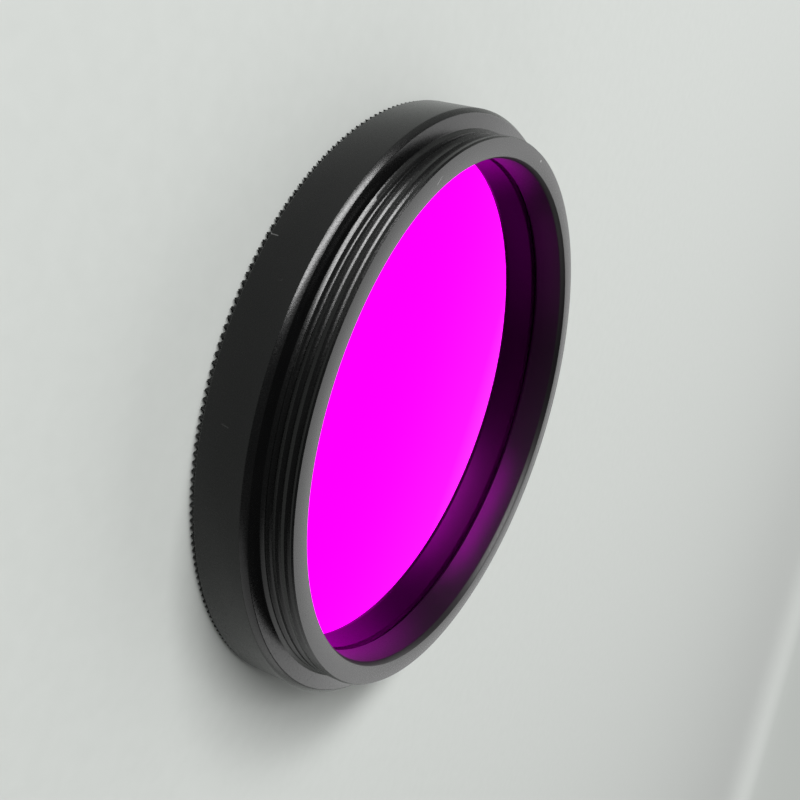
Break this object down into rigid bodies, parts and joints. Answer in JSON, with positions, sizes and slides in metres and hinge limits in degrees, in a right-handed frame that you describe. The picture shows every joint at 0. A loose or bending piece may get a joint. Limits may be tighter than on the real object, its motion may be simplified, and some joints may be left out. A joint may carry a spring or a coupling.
{
  "type": "optical bandpass filter",
  "caption": "Round screw-in optical bandpass filter: interference-coated glass disc held in a thin black metal cell with a male thread in front and a female thread behind.",
  "frame": {"origin": "centre of the flat rear face of the cell, which the filter lies on", "axes": "+Z along the optical axis, from the knurled rear rim towards the male-threaded spigot"},
  "size_m": [0.0516, 0.0516, 0.0074],
  "materials": {
    "black_anodised": "bead-blasted black anodised",
    "coated_glass": "polished, with an interference coating that reflects magenta and passes green",
    "ring_black": "black anodised"
  },
  "bodies": {
    "root": {"cell": "black_anodised", "filter_glass": "coated_glass", "retaining_ring": "ring_black"}
  },
  "joints": []
}
